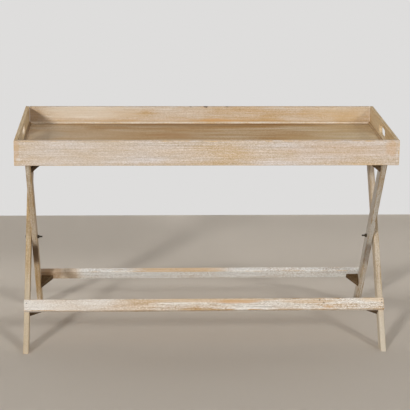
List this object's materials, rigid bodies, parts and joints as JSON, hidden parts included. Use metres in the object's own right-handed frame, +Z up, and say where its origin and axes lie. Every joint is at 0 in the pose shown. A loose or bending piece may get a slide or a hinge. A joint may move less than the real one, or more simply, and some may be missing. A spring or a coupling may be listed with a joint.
{
  "type": "butler's tray table",
  "caption": "Long wooden butler's tray with cut-out hand slots on a folding X stand: crossed legs on pivot bolts, low stretchers, top rails and corner blocks.",
  "frame": {"origin": "on the floor under the middle of the tray", "axes": "+X along the tray, +Y from the front to the back, +Z up"},
  "size_m": [1.2, 0.55, 0.704],
  "materials": {
    "tray_wood": "limed, satin",
    "floor_wood": "waxed, satin",
    "bead_wood": "limed, satin",
    "leg_wood": "limed, matte",
    "rail_wood": "limed, matte",
    "block_wood": "bare, matte",
    "steel": "dull"
  },
  "bodies": {
    "outer_frame": {"outer_leg_left": "leg_wood", "outer_leg_right": "leg_wood", "front_stretcher": "rail_wood", "back_top_rail": "rail_wood", "front_stretcher_block_left": "block_wood", "front_stretcher_block_right": "block_wood", "back_top_rail_block_left": "block_wood", "back_top_rail_block_right": "block_wood", "pivot_bolt_left": "steel", "pivot_bolt_right": "steel", "pivot_spacer_left": "steel", "pivot_spacer_right": "steel", "pivot_washer_left": "steel", "pivot_washer_right": "steel", "pivot_nut_left": "steel", "pivot_nut_right": "steel"},
    "inner_frame": {"inner_leg_left": "leg_wood", "inner_leg_right": "leg_wood", "back_stretcher": "rail_wood", "front_top_rail": "rail_wood", "back_stretcher_block_left": "block_wood", "back_stretcher_block_right": "block_wood", "front_top_rail_block_left": "block_wood", "front_top_rail_block_right": "block_wood"},
    "tray": {"tray_front_board": "tray_wood", "tray_back_board": "tray_wood", "tray_left_end_board": "tray_wood", "tray_right_end_board": "tray_wood", "tray_floor": "floor_wood", "floor_bead_front": "bead_wood", "floor_bead_back": "bead_wood", "floor_bead_left": "bead_wood", "floor_bead_right": "bead_wood"}
  },
  "joints": [
    {"name": "tray_lift", "type": "slide", "parent": "outer_frame", "child": "tray", "axis": [0, 0, 1], "range_m": [0, 0.35]},
    {"name": "leg_fold", "type": "hinge", "parent": "outer_frame", "child": "inner_frame", "pos_m": [0, 0, 0.317], "axis": [-1, 0, 0], "range_deg": [0, 58]}
  ],
  "couplings": [
    {"joint": "leg_fold", "follows": "tray_lift", "rad_per_m": 2.89}
  ]
}
